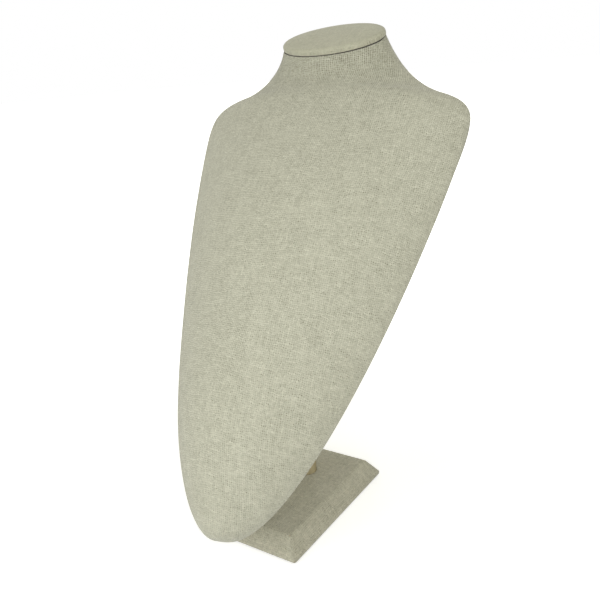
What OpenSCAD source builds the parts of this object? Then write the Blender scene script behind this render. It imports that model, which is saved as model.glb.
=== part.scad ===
/* [Bust outline] */
// Finished width at the widest point, below the shoulders
bust_width = 250; // [235:1:270]
// Distance up the face from the tip to the widest point
chest_length = 340; // [325:1:355]
// How far the blunt tip runs out to each side before it turns up
tip_spread = 72; // [60:1:84]
// Straight run of the sides just below the widest point
side_run = 40; // [25:1:60]
// Inset of the shoulder crest from the widest point, on each side
shoulder_inset = 26; // [20:1:32]
// Rise from the widest point to the shoulder crest
shoulder_rise = 33; // [28:1:37]
// Fall of the shoulder line towards its outer end, in degrees
shoulder_slope = 19; // [14:1:23]
// Reach of the side line into the rounded shoulder corner
corner_reach = 15; // [10:1:18]
// Reach of the shoulder line into the rounded shoulder corner
crest_reach = 26; // [20:1:30]
// Length from the shoulder crest to the top of the neck
neck_length = 48; // [43:1:56]
// Run of the shoulder line into the curve of the neck
neck_flare = 21; // [15:1:26]
// Height below the top at which the neck line starts to splay
neck_rise = 23; // [17:1:28]
// Outward splay of the neck line at its foot
neck_splay = 8; // [4:1:12]

/* [Bust sections] */
// Height of the face above its edge plane near the tip
crown_tip = 23; // [19:1:28]
// The same height a fifth of the way up
crown_low = 52; // [45:1:58]
// The same height two fifths of the way up
crown_middle = 54.5; // [48:0.5:60]
// The same height three fifths of the way up, at the fullest part
crown_chest = 54; // [48:0.5:60]
// The same height four fifths of the way up, at the collar
crown_collar = 40; // [35:1:45]
// Half width at which the tip reaches its full height
tip_round = 36; // [30:1:48]
// Height of the upright edge all round the face
rim = 2.2; // [2:0.1:4]
// Roundness of a chest section: 0.5 is an ellipse, 1 is a parabola
section_fullness = 0.72; // [0.6:0.02:0.9]
// Distance below the shoulder crest at which sections start to turn oval
oval_start = 3; // [0:1:20]

/* [Bust stance] */
// Lean of the face back from the vertical, in degrees
lean = 33.5; // [30:0.5:37]
// Rise from the widest point to where the neck starts to bend forward
bend_rise = 18; // [14:1:24]
// Angle by which the neck bends forward on its way to the top, in degrees
neck_bend_angle = 43; // [36:1:46]
// Further angle by which the top of the neck is cut lower in front, in degrees
neck_cut_angle = 14; // [8:1:17]
// Distance of the tip in front of the middle of the base
tip_forward = 98; // [91:1:106]
// Height of the tip above the table
tip_height = 21; // [19:1:35]

/* [Bust construction] */
// Thickness of the linen and its glue
linen = 0.6; // [0.4:0.1:0.7]
// Wall of the moulded shell
shell_wall = 3; // [2:0.25:4]
// Width of the flange round the open back of the shell
flange = 18; // [16:1:24]
// Width of linen turned over onto the back
turn_over = 14; // [10:1:16]
// Half of the slit left where the linen meets behind the neck
seam_half = 0.25; // [0.2:0.05:0.5]
// Thickness of the back board
board_thickness = 2.5; // [2:0.25:4]
// Inset of the covered back panel from the edge of the bust
panel_inset = 5; // [4:0.5:8]
// Corner radius at the top of the back panel
panel_corner = 8; // [4:1:14]

/* [Neck cap] */
// Width of the finished oval cap
cap_width = 96; // [90:1:102]
// Depth of the finished oval cap, front to back
cap_depth = 52; // [48:1:58]
// Thickness of the finished cap at its edge
cap_thickness = 5; // [4.5:0.25:8]
// Thickness of the stiff board in the cap
cap_board_thickness = 2; // [1.5:0.25:2.5]
// Radius of the padded top edge
cap_round = 1.6; // [1:0.1:1.8]
// Extra height of the padding in the middle of the cap
cap_dome_height = 0.8; // [0.2:0.1:2]
// How far the cap stands out past the neck all round
cap_overhang = 0.5; // [0.2:0.1:1.5]

/* [Base] */
// Width of the base
base_width = 97; // [90:1:120]
// Depth of the base, front to back
base_depth = 144; // [136:1:170]
// Height of the base
base_height = 17; // [15:0.5:24]
// Inset of the top face from the bottom edge, all round
base_bevel = 9.5; // [5:0.5:14]
// Height of the upright band under the bevel
base_lip = 2; // [1:0.5:4]
// Thickness of the pad under the base
pad_thickness = 1; // [0.8:0.1:3]
// Inset of the pad from the edge of the base
pad_inset = 4; // [2:0.5:8]
// Width of linen turned under the base
base_turn = 14; // [10:1:20]
// Width of the folded pleat at each corner, at the bottom
pleat_width = 11; // [6:1:16]
// Thickness of a folded pleat above the linen
pleat_thickness = 0.5; // [0.3:0.1:0.8]

/* [Post] */
// Diameter of the wooden post
post_diameter = 19; // [16:0.5:26]
// Share of the chest's length, up from the tip, at which the post meets the back
post_share = 0.65; // [0.6:0.01:0.69]
// Depth of the socket for the post in the base block
socket_depth = 7; // [5:0.5:9]
// Clearance round the post in its socket and in the linen, on the radius
post_clearance = 0.1; // [0.05:0.05:0.3]
// Width of the wedge block behind the back board
wedge_width = 44; // [36:1:50]
// Depth of the level seat on top of the wedge block
wedge_depth = 34; // [30:1:40]

/* [Screws] */
// Shank diameter of the wood screws
screw_diameter = 4; // [3.5:0.25:5]
// Head diameter of the wood screws
screw_head = 8; // [7:0.25:9]
// Length of the screws through the wedge block into the post
top_screw_length = 55; // [46:1:60]
// Length of the screw through the base block into the post
base_screw_length = 25; // [18:1:32]
// Distance between the middles of the upper screws
screw_spacing = 10; // [9.5:0.25:11]
// Clearance round a screw in the pieces it passes through, on the radius
screw_clearance = 0.1; // [0.05:0.05:0.3]
// Clearance round a screw in its pilot hole in the post, on the radius
pilot_clearance = 0.02; // [0.01:0.01:0.05]

/* [Hidden] */
$fn = 64;
linen_colour = "#bab89f";
overcut = 1;

// Number of steps along each stretch of the outline and across a section
tip_steps = 18;
corner_steps = 4;
neck_steps = 9;
bend_steps = 24;
front_steps = 28;
back_steps = 6;
oval_steps = 48;

function mix(a, b, t) = a * (1 - t) + b * t;
function limit(x) = min(max(x, 0), 1);
function ease(x) = let (c = limit(x)) c * c * (3 - 2 * c);
function bezier(p, t) =
    let (r = 1 - t)
    r * r * r * p[0] + 3 * r * r * t * p[1] + 3 * r * t * t * p[2] + t * t * t * p[3];

// Outline of one half of the face, laid flat: distance from the middle line, distance up from the tip
half_width = bust_width / 2;
crest_at = chest_length + shoulder_rise;
face_length = crest_at + neck_length;
neck_half_width = cap_width / 2 - cap_overhang;
neck_half_depth = cap_depth / 2 - cap_overhang;
crest = [half_width - shoulder_inset, crest_at];
crest_line = [cos(shoulder_slope), -sin(shoulder_slope)];
tip_curve = [[0, 0], [tip_spread, 0], [half_width, chest_length - side_run], [half_width, chest_length]];
corner_curve = [[half_width, chest_length], [half_width, chest_length + corner_reach],
                crest + crest_reach * crest_line, crest];
neck_curve = [crest, crest - neck_flare * crest_line,
              [neck_half_width + neck_splay, face_length - neck_rise], [neck_half_width, face_length]];
side_line = [for (i = [1:tip_steps]) bezier(tip_curve, i / tip_steps)];
outline = concat(
    side_line,
    [for (i = [1:corner_steps]) bezier(corner_curve, i / corner_steps)],
    [for (i = [1:neck_steps]) bezier(neck_curve, i / neck_steps)]);
last = len(outline) - 1;

// Side view of the edge plane: straight up to the foot of the neck, then bent forward up to its top.
// The bend starts gently, and the sections near the top turn further than the neck itself.
bend_start = chest_length + bend_rise;
post_back = post_share * chest_length * sin(lean) - tip_forward;
function bend_share(v) = limit((v - bend_start) / (face_length - bend_start));
function lean_at(v) = let (t = bend_share(v)) lean - neck_bend_angle * (t + ease(t)) / 2;
function tilt_at(v) = lean_at(v) - neck_cut_angle * ease(bend_share(v));
function mean(list) = list * [for (x = list) 1] / len(list);
function spine(v) =
    let (straight = min(v, bend_start),
         neck = max(v - bend_start, 0),
         turned = [for (k = [0.5:bend_steps]) lean_at(bend_start + neck * k / bend_steps)])
    [-tip_forward + straight * sin(lean) + neck * mean([for (a = turned) sin(a)]),
     tip_height + straight * cos(lean) + neck * mean([for (a = turned) cos(a)])];

// Height of the face along its middle: a smooth curve through evenly spaced heights
crown = [crown_tip, crown_low, crown_middle, crown_chest, crown_collar, neck_half_depth];
function crown_at(v) =
    let (steps = len(crown) - 1,
         x = limit(v / face_length) * steps,
         i = min(floor(x), steps - 1),
         before = i > 0 ? crown[i - 1] : 2 * crown[0] - crown[1],
         after = i < steps - 1 ? crown[i + 2] : crown[steps],
         a = crown[i],
         b = crown[i + 1])
    bezier([a, a + (b - before) / 6, b - (after - a) / 6, b], x - i);

// Linen wraps the whole neck, and its turned edges close up behind the shoulders, under the back panel
panel_top = chest_length - panel_inset;
close_end = panel_top;
close_start = close_end - 3 * turn_over;
function closing(v) = ease((v - close_start) / (close_end - close_start));
function neck_back(v) = neck_half_depth * ease((v - chest_length) / (face_length - chest_length));

// A section is a list of [across, forward] points, from its back's left end over the face to its right end.
// u is its half width, grow moves it outwards, and border is the width of its turned edge on the flat back.
least_edge = 0.5;
function front_point(v, u, grow, s) =
    let (towards_oval = ease((v - crest_at + oval_start) / (neck_length + oval_start)),
         fullness = mix(section_fullness, 0.5, towards_oval),
         shrink = 1 - limit(u / tip_round),
         top = rim + sqrt(1 - shrink * shrink) * (crown_at(v) - rim) + grow,
         edge = max(rim + grow, least_edge - grow))
    [(u + grow) * s, edge + (top - edge) * pow(1 - s * s, fullness)];
function back_point(v, u, grow, border, k) =
    let (half = u + grow,
         t = k / back_steps,
         flat_x = mix(half, max(half - border, seam_half), t),
         round_x = half * cos(acos(seam_half / half) * t),
         x = mix(flat_x, round_x, closing(v)))
    [x, -neck_back(v) * sqrt(max(1 - x * x / (half * half), 0)) - grow];
function section(v, u, grow, border) = concat(
    [for (k = [back_steps:-1:0]) let (p = back_point(v, u, grow, border, k)) [-p[0], p[1]]],
    [for (j = [0:front_steps]) front_point(v, u, grow, sin(180 * j / front_steps - 90))],
    [for (k = [0:back_steps]) back_point(v, u, grow, border, k)]);
columns = front_steps + 2 * back_steps + 3;

// Places a section's points across the spine at v, raised by lift along it
function placed(points, v, lift) =
    let (at = spine(v), tilt = tilt_at(v))
    [for (p = points) [p[0],
                       at[0] - p[1] * cos(tilt) + lift * sin(tilt),
                       at[1] + p[1] * sin(tilt) + lift * cos(tilt)]];
function tip_point(grow) = placed([[0, rim / 2]], -grow, 0);

// Triangles between two neighbouring rows of points, seen from outside when they run left to right and up
function strip(a, b, from, to, wrap) =
    [for (c = [from:to])
        let (d = wrap ? (c + 1) % columns : c + 1)
        each [[a + c, b + d, a + d], [a + c, b + c, b + d]]];
function fan(apex, row, from, to, wrap) =
    [for (c = [from:to]) let (d = wrap ? (c + 1) % columns : c + 1) [apex, row + c, row + d]];
function lid(row) =
    let (middle = (columns - 1) / 2)
    [for (c = [0:columns - 1])
        let (d = (c + 1) % columns)
        if (c != middle && d != middle) [row + middle, row + c, row + d]];
function turned(faces) = [for (f = faces) [for (i = [len(f) - 1:-1:0]) f[i]]];
function quad(a, b, c, d) = [[a, b, c], [a, c, d]];

// Rows at which the hollow of the shell starts, and at which its open back starts and ends
solid_tip = 30;
window_half = 44;
hollow_first = [for (i = [0:last]) if (outline[i][0] > solid_tip) i][0];
window_first = [for (i = [0:last]) if (outline[i][0] > window_half) i][0];
window_last = max([for (i = [0:last]) if (outline[i][1] < close_start - turn_over) i]);

// Moulded shell of neck and chest, open behind the chest inside a flange
module bust_shell() {
    skin_rows = [for (i = [0:last])
        let (v = i == last ? face_length - linen : outline[i][1])
        placed(section(v, outline[i][0], -linen, flange), v, 0)];
    hollow_rows = [for (i = [hollow_first:last])
        let (v = i == last ? face_length - linen - shell_wall : outline[i][1])
        placed(section(v, outline[i][0] - shell_wall, -linen - shell_wall, flange - 2 * shell_wall), v, 0)];
    points = concat(tip_point(-linen), [for (r = skin_rows) each r], [for (r = hollow_rows) each r]);
    out = [for (i = [0:last]) 1 + i * columns];
    inn = [for (i = [0:last]) 1 + (last + 1 + i - hollow_first) * columns];
    function open_row(i) = i >= window_first && i < window_last;
    end = columns - 1;
    faces = concat(
        fan(0, out[0], 0, end, true),
        [for (i = [0:last - 1]) each strip(out[i], out[i + 1], 0, open_row(i) ? end - 1 : end, true)],
        turned(lid(out[last])),
        turned(lid(inn[hollow_first])),
        [for (i = [hollow_first:last - 1])
            each turned(strip(inn[i], inn[i + 1], 0, open_row(i) ? end - 1 : end, true))],
        lid(inn[last]),
        [for (i = [window_first:window_last - 1]) each concat(
            quad(out[i], inn[i], inn[i + 1], out[i + 1]),
            quad(out[i] + end, out[i + 1] + end, inn[i + 1] + end, inn[i] + end))],
        quad(out[window_first], out[window_first] + end, inn[window_first] + end, inn[window_first]),
        quad(out[window_last], inn[window_last], inn[window_last] + end, out[window_last] + end));
    color("#d9d6cc") polyhedron(points, faces, convexity = 6);
}

// Linen glued over the face and neck, turned onto the back and over the top of the neck
module bust_linen() {
    inner_rows = [for (i = [0:last])
        let (v = i == last ? face_length - linen : outline[i][1])
        placed(section(v, outline[i][0], -linen, turn_over), v, 0)];
    outer_rows = [for (i = [0:last])
        let (v = outline[i][1])
        placed(section(v, outline[i][0], 0, turn_over), v, 0)];
    lap = turn_over / 2;
    inner_lap = placed(section(face_length, neck_half_width, -lap, turn_over), face_length - linen, 0);
    outer_lap = placed(section(face_length, neck_half_width, -lap, turn_over), face_length, 0);
    points = concat(tip_point(-linen), [for (r = inner_rows) each r], inner_lap,
                    tip_point(0), [for (r = outer_rows) each r], outer_lap);
    half = 1 + (last + 2) * columns;
    end = columns - 1;
    inn = [for (i = [0:last + 1]) 1 + i * columns];
    out = [for (i = [0:last + 1]) half + 1 + i * columns];
    faces = concat(
        turned(fan(0, inn[0], 0, end - 1, false)),
        fan(half, out[0], 0, end - 1, false),
        quad(0, inn[0], out[0], half),
        quad(0, half, out[0] + end, inn[0] + end),
        [for (i = [0:last]) each concat(
            turned(strip(inn[i], inn[i + 1], 0, end - 1, false)),
            strip(out[i], out[i + 1], 0, end - 1, false),
            quad(inn[i], inn[i + 1], out[i + 1], out[i]),
            quad(inn[i] + end, out[i] + end, out[i + 1] + end, inn[i + 1] + end))],
        [for (c = [0:end - 1])
            each quad(inn[last + 1] + c, inn[last + 1] + c + 1, out[last + 1] + c + 1, out[last + 1] + c)]);
    color(linen_colour) polyhedron(points, faces, convexity = 6);
}

// Local frame on the edge plane: X across, Y up the plane from the tip, Z towards the face
module on_back_plane() {
    translate([0, -tip_forward, tip_height]) rotate([90 - lean, 0, 0]) children();
}
function plane_height(y) = tip_height + (y + tip_forward) / tan(lean);

// Outline of the back panel: the side line moved in by inset, with a straight top and rounded corners
least_step = 4;
function inset_side(inset) =
    [for (i = [0:tip_steps - 1])
        let (before = i > 0 ? side_line[i - 1] : [0, 0],
             run = side_line[min(i + 1, tip_steps - 1)] - before,
             p = side_line[i] + inset * [-run[1], run[0]] / norm(run))
        if (p[0] > least_step && p[1] < panel_top - panel_corner - least_step) p];
function panel_outline(inset) =
    let (side = inset_side(inset),
         r = panel_corner + panel_inset - inset,
         corner_x = half_width - panel_inset - panel_corner,
         corner_y = panel_top - panel_corner,
         half = concat(side, [for (a = [0:15:90]) [corner_x + r * cos(a), corner_y + r * sin(a)]]))
    concat([[0, inset]], half, [for (i = [len(half) - 1:-1:0]) [-half[i][0], half[i][1]]]);

module vertical_screw_holes(radius) {
    for (side = [-1, 1])
        translate([side * screw_spacing / 2, post_back, 0]) cylinder(r = radius, h = 2 * face_length);
}

// Stiff board that closes the back of the shell
module back_board() {
    color("#b9a583") difference() {
        on_back_plane()
            translate([0, 0, -board_thickness])
                linear_extrude(board_thickness) polygon(panel_outline(panel_inset + linen));
        vertical_screw_holes(screw_diameter / 2 + screw_clearance);
    }
}

// Linen over the back board, wrapped round its edges
module back_linen() {
    color(linen_colour) difference() {
        on_back_plane()
            translate([0, 0, -board_thickness - linen])
                difference() {
                    linear_extrude(board_thickness + linen) polygon(panel_outline(panel_inset));
                    translate([0, 0, linen])
                        linear_extrude(board_thickness + overcut) polygon(panel_outline(panel_inset + linen));
                }
        vertical_screw_holes(screw_diameter / 2 + screw_clearance);
    }
}

// Wedge glued inside the back board, with a level seat for the screws into the post
wedge_front = post_back - wedge_depth / 2;
wedge_back = post_back + wedge_depth / 2;
wedge_top = plane_height(wedge_back);
module wedge_block() {
    color("#c9a877") difference() {
        translate([-wedge_width / 2, 0, 0])
            rotate([90, 0, 90])
                linear_extrude(wedge_width)
                    polygon([[wedge_back, wedge_top], [wedge_front, wedge_top],
                             [wedge_front, plane_height(wedge_front)]]);
        vertical_screw_holes(screw_diameter / 2 + screw_clearance);
        for (side = [-1, 1])
            translate([side * screw_spacing / 2, post_back, wedge_top]) countersink();
    }
}

// Cone cut for a screw head, whose top lies on the plane Z = 0
head_height = (screw_head - screw_diameter) / 2;
module countersink() {
    spare = screw_clearance + overcut;
    translate([0, 0, -head_height - screw_clearance])
        rotate_extrude()
            polygon([[0, 0], [screw_diameter / 2, 0],
                     [screw_diameter / 2 + head_height + spare, head_height + spare],
                     [0, head_height + spare]]);
}

// Wood screw with its head up and its top on the plane Z = 0
module wood_screw(length) {
    point = screw_diameter;
    slot_length = screw_head / 2;
    slot_width = screw_diameter / 5;
    slot_depth = head_height / 2;
    difference() {
        rotate_extrude()
            polygon([[0, 0], [screw_head / 2, 0], [screw_diameter / 2, -head_height],
                     [screw_diameter / 2, point - length], [0, -length]]);
        for (turn = [0, 90])
            rotate(turn) translate([-slot_length / 2, -slot_width / 2, -slot_depth])
                cube([slot_length, slot_width, slot_depth + overcut]);
    }
}

// Two screws down through the wedge block and the back board into the post
module post_screws() {
    color("#a8a8a4")
        for (side = [-1, 1])
            translate([side * screw_spacing / 2, post_back, wedge_top]) wood_screw(top_screw_length);
}

// Round post, seated in the base and cut on top to the lean of the bust
block_bottom = pad_thickness + linen;
block_top = base_height - linen;
post_foot = block_top - socket_depth;
module support_post() {
    color("#c2ab7c") difference() {
        translate([0, post_back, post_foot])
            cylinder(d = post_diameter, h = plane_height(post_back + post_diameter) - post_foot);
        on_back_plane()
            translate([-post_diameter, 0, -board_thickness - linen])
                cube([2 * post_diameter, face_length, face_length]);
        translate([0, 0, wedge_top - top_screw_length])
            vertical_screw_holes(screw_diameter / 2 + pilot_clearance);
        translate([0, post_back, post_foot - overcut])
            cylinder(r = screw_diameter / 2 + pilot_clearance,
                     h = block_bottom + base_screw_length - post_foot + overcut);
    }
}

// Screw up through the base block into the foot of the post
module base_screw() {
    color("#a8a8a4")
        translate([0, post_back, block_bottom]) mirror([0, 0, 1]) wood_screw(base_screw_length);
}

// Bevelled block shape, moved in by inset from the finished faces
bevel_run = base_bevel / (base_height - pad_thickness - base_lip);
bevel_scale = sqrt(1 + bevel_run * bevel_run);
lip_top = pad_thickness + base_lip;
function base_profile(half, inset) =
    let (shoulder = lip_top - (inset == 0 ? 0 : inset * (bevel_scale - 1) / bevel_run),
         top = base_height - inset,
         top_half = half - (top - lip_top) * bevel_run - inset * bevel_scale,
         side = half - inset,
         bottom = pad_thickness + inset)
    [[-side, bottom], [side, bottom], [side, shoulder], [top_half, top], [-top_half, top], [-side, shoulder]];
module base_form(inset) {
    intersection() {
        translate([0, base_depth / 2, 0]) rotate([90, 0, 0])
            linear_extrude(base_depth) polygon(base_profile(base_width / 2, inset));
        translate([-base_width / 2, 0, 0]) rotate([90, 0, 90])
            linear_extrude(base_width) polygon(base_profile(base_depth / 2, inset));
    }
}

// Bevelled board under the post
module base_block() {
    color("#b9a583") difference() {
        base_form(linen);
        translate([0, post_back, post_foot])
            cylinder(d = post_diameter + 2 * post_clearance, h = socket_depth + overcut);
        translate([0, post_back, 0])
            cylinder(r = screw_diameter / 2 + screw_clearance, h = base_height);
        translate([0, post_back, block_bottom]) mirror([0, 0, 1]) countersink();
    }
}

// Folded flap of linen on a long side of the base, from the top corner down to the bottom edge
module pleat() {
    corner = base_depth / 2 - pleat_thickness;
    low = pad_thickness + pleat_thickness;
    high = base_height - pleat_thickness;
    intersection() {
        base_form(-pleat_thickness);
        rotate([90, 0, 90])
            linear_extrude(base_width)
                polygon([[-corner, low], [pleat_width - corner, low],
                         [max(pleat_width, base_bevel + 1) - corner, high],
                         [base_bevel - corner, high], [-corner, lip_top]]);
    }
}

// Linen over the base, turned under it, with its corners folded onto the long sides
module base_linen() {
    color(linen_colour) difference() {
        union() {
            base_form(0);
            for (x = [0, 1], y = [0, 1])
                mirror([x, 0, 0]) mirror([0, y, 0]) pleat();
        }
        base_form(linen);
        translate([-base_width / 2 + base_turn, -base_depth / 2 + base_turn, 0])
            cube([base_width - 2 * base_turn, base_depth - 2 * base_turn, base_height / 2]);
        translate([0, post_back, base_height / 2])
            cylinder(d = post_diameter + 2 * post_clearance, h = base_height);
    }
}

// Thin pad that the stand rests on
module base_pad() {
    color("#77756a")
        translate([pad_inset - base_width / 2, pad_inset - base_depth / 2, 0])
            cube([base_width - 2 * pad_inset, base_depth - 2 * pad_inset, pad_thickness]);
}

// Solid between oval rings of [inset, height], with flat ends on the first and the last ring
module oval_rings(rings) {
    points = [for (r = rings, i = [0:oval_steps - 1])
        let (a = 360 * i / oval_steps)
        [(cap_width / 2 - r[0]) * cos(a), (cap_depth / 2 - r[0]) * sin(a), r[1]]];
    faces = concat(
        [[for (i = [0:oval_steps - 1]) i]],
        [for (r = [0:len(rings) - 2], i = [0:oval_steps - 1])
            let (a = r * oval_steps + i,
                 b = r * oval_steps + (i + 1) % oval_steps,
                 rising = rings[r + 1][1] > rings[r][1])
            each rising ? quad(a, a + oval_steps, b + oval_steps, b)
                        : quad(a + oval_steps, b + oval_steps, b, a)],
        [[for (i = [oval_steps - 1:-1:0]) (len(rings) - 1) * oval_steps + i]]);
    polyhedron(points, faces, convexity = 4);
}

// Rings over the padded top, from the side to the middle, on a surface moved out by grow.
// The dome is given as [share of the cap's depth inwards, share of the dome's height].
dome = [[0.125, 0.45], [0.25, 0.85], [0.385, 1]];
function cap_top(grow) =
    let (inset = linen + cap_round,
         height = cap_thickness - linen - cap_round,
         r = cap_round + grow)
    concat([for (a = [0:22.5:90]) [inset - r * cos(a), height + r * sin(a)]],
           [for (d = dome) [cap_depth * d[0], cap_thickness - linen + grow + cap_dome_height * d[1]]]);
board_top = linen + cap_board_thickness;

// Frame on the top of the neck, with Z along it
module on_neck() {
    at = spine(face_length);
    translate([0, at[0], at[1]]) rotate([-tilt_at(face_length), 0, 0]) children();
}

// Stiff oval board in the cap
module cap_board() {
    color("#b9a583") on_neck() oval_rings([[linen, linen], [linen, board_top]]);
}

// Foam over the cap board
module cap_pad() {
    color("#e6e2d4") on_neck() oval_rings(concat([[linen, board_top]], cap_top(0)));
}

// Linen over the foam, turned under the cap board
module cap_linen() {
    lap = turn_over;
    outer = cap_top(linen);
    inner = cap_top(0);
    rings = concat(
        [for (i = [len(inner) - 1:-1:0]) inner[i]],
        [[linen, linen], [lap, linen], [lap, 0], [linen, 0], [0, linen]],
        outer);
    color(linen_colour) on_neck() oval_rings(rings);
}

bust_shell();
bust_linen();
back_board();
back_linen();
wedge_block();
post_screws();
support_post();
base_screw();
base_block();
base_linen();
base_pad();
cap_board();
cap_pad();
cap_linen();
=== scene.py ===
import math

import bmesh
import bpy
from mathutils import Matrix, Vector


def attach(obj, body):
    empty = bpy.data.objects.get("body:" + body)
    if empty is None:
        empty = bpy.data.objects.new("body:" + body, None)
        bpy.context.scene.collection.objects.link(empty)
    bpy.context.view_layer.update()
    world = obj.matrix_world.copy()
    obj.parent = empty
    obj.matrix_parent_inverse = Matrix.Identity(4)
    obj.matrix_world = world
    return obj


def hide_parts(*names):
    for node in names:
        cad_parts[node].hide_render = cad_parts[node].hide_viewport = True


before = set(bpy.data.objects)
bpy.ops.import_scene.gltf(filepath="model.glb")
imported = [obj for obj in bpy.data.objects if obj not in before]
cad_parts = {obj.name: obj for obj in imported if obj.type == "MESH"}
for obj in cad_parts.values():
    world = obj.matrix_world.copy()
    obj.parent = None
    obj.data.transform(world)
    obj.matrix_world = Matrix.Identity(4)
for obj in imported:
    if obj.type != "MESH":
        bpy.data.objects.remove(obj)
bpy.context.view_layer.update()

# Sizes are in millimetres and angles in degrees; makePiece turns points into the frame's metres
millimetre = 0.001
mergeWithin = 0.002
linen = 0.6  # thickness of a cover with its glue
quarterTurn = (0, 22.5, 45, 67.5, 90)
coarseTurn = (0, 30, 60, 90)


def mix(a, b, t):
    return a * (1 - t) + b * t


def limit(x):
    return min(max(x, 0.0), 1.0)


def ease(x):
    c = limit(x)
    return c * c * (3 - 2 * c)


def bezier(p, t):
    r = 1 - t
    weights = (r * r * r, 3 * r * r * t, 3 * r * t * t, t * t * t)
    return [sum(w * q[k] for w, q in zip(weights, p)) for k in (0, 1)]


def sinDeg(a):
    return math.sin(math.radians(a))


def cosDeg(a):
    return math.cos(math.radians(a))


def joined(rows):
    return [item for row in rows for item in row]


def pathLengths(points):
    total, out = 0.0, [0.0]
    for p, q in zip(points, points[1:]):
        total += math.dist(p, q)
        out.append(total)
    return out


# Quads between neighbouring rows of points; wrap joins the last column to the first
def rowFaces(rows, columns, wrap=False, wrapRows=False):
    faces = []
    for i in range(rows if wrapRows else rows - 1):
        for c in range(columns if wrap else columns - 1):
            a, b = i * columns + c, i * columns + (c + 1) % columns
            over = (i + 1) % rows * columns
            faces.append((a, b, over + (c + 1) % columns, over + c))
    return faces


# The two faces that close the first and the last row
def endFaces(rows, columns):
    last = (rows - 1) * columns
    return [tuple(reversed(range(columns))), tuple(range(last, last + columns))]


# The same faces on points further on in the list, turned over where that is asked for
def moved(faces, by=0, turned=False):
    return [tuple(by + k for k in (reversed(face) if turned else face)) for face in faces]


def addObject(name, data):
    item = bpy.data.objects.new(name, data)
    bpy.context.scene.collection.objects.link(item)
    return item


# A piece from points and faces; cloth gives each point its place on the cloth, and the last list its share
# of painted shade, the near-black brown in the slot under the cap
def makePiece(name, node, points, faces, material, cloth=None, glue=None):
    mesh = bpy.data.meshes.new(name)
    mesh.from_pydata([[c * millimetre for c in p] for p in points], [], faces)
    if cloth:
        layer = mesh.attributes.new("clothAt", "FLOAT_VECTOR", "POINT")
        for k, c in enumerate(cloth):
            layer.data[k].vector = (*c, 0)[:3]
    if glue:
        layer = mesh.attributes.new("glueAt", "FLOAT", "POINT")
        for k, share in enumerate(glue):
            layer.data[k].value = share
    work = bmesh.new()
    work.from_mesh(mesh)
    bmesh.ops.remove_doubles(work, verts=work.verts, dist=mergeWithin * millimetre)
    bmesh.ops.recalc_face_normals(work, faces=work.faces)
    work.to_mesh(mesh)
    work.free()
    for polygon in mesh.polygons:
        polygon.use_smooth = True
    mesh.materials.append(material)
    piece = addObject(name, mesh)
    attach(piece, "root")
    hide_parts(node)
    return piece


# A shader node group with named inputs and outputs, and its own input and output sockets
def newGroup(name, inputs, outputs):
    group = bpy.data.node_groups.new(name, "ShaderNodeTree")
    for socketName, kind, value in inputs:
        socket = group.interface.new_socket(socketName, in_out="INPUT", socket_type=kind)
        if value is not None:
            socket.default_value = value
    for socketName, kind in outputs:
        group.interface.new_socket(socketName, in_out="OUTPUT", socket_type=kind)
    return group, group.nodes.new("NodeGroupInput").outputs, group.nodes.new("NodeGroupOutput").inputs


# Adds nodes to the tree of a group, a material or the world
class NodeBuilder:
    def __init__(self, tree):
        self.tree = tree

    def link(self, source, target):
        self.tree.links.new(source, target)

    def feed(self, socket, value):
        if isinstance(value, bpy.types.NodeSocket):
            self.link(value, socket)
        elif value is not None:
            socket.default_value = value

    def math(self, operation, a, b=None, clamp=False):
        node = self.tree.nodes.new("ShaderNodeMath")
        node.operation = operation
        node.use_clamp = clamp
        self.feed(node.inputs[0], a)
        self.feed(node.inputs[1], b)
        return node.outputs[0]

    def plus(self, a, b, clamp=False):
        return self.math("ADD", a, b, clamp)

    def minus(self, a, b):
        return self.math("SUBTRACT", a, b)

    def times(self, a, b):
        return self.math("MULTIPLY", a, b)

    def vector(self, operation, a, b=None, output="Vector"):
        node = self.tree.nodes.new("ShaderNodeVectorMath")
        node.operation = operation
        self.feed(node.inputs[0], a)
        self.feed(node.inputs[1], b)
        return node.outputs[output]

    def combine(self, x, y, z=0.0):
        node = self.tree.nodes.new("ShaderNodeCombineXYZ")
        for k, value in enumerate((x, y, z)):
            self.feed(node.inputs[k], value)
        return node.outputs[0]

    def separate(self, v):
        node = self.tree.nodes.new("ShaderNodeSeparateXYZ")
        self.feed(node.inputs[0], v)
        return node.outputs

    def noise(self, vector, scale=1.0, detail=2.0, roughness=0.6, output="Fac"):
        node = self.tree.nodes.new("ShaderNodeTexNoise")
        self.feed(node.inputs["Vector"], vector)
        self.feed(node.inputs["Scale"], scale)
        self.feed(node.inputs["Detail"], detail)
        self.feed(node.inputs["Roughness"], roughness)
        return node.outputs[output]

    def white(self, vector):
        node = self.tree.nodes.new("ShaderNodeTexWhiteNoise")
        self.feed(node.inputs["Vector"], vector)
        return node.outputs["Value"]

    def remap(self, value, span, target=(0.0, 1.0)):
        node = self.tree.nodes.new("ShaderNodeMapRange")
        for k, v in enumerate((value, *span, *target)):
            self.feed(node.inputs[k], v)
        return node.outputs[0]

    # Sockets 6 and 7 of a colour mix are its two colours
    def blend(self, factor, a, b):
        node = self.tree.nodes.new("ShaderNodeMix")
        node.data_type = "RGBA"
        self.feed(node.inputs[0], factor)
        self.feed(node.inputs[6], a)
        self.feed(node.inputs[7], b)
        return node.outputs[2]

    def attribute(self, name):
        node = self.tree.nodes.new("ShaderNodeAttribute")
        node.attribute_name = name
        return node.outputs

    def place(self):
        return self.tree.nodes.new("ShaderNodeNewGeometry").outputs["Position"]

    def seen(self):
        return self.tree.nodes.new("ShaderNodeLightPath").outputs["Is Camera Ray"]


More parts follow.
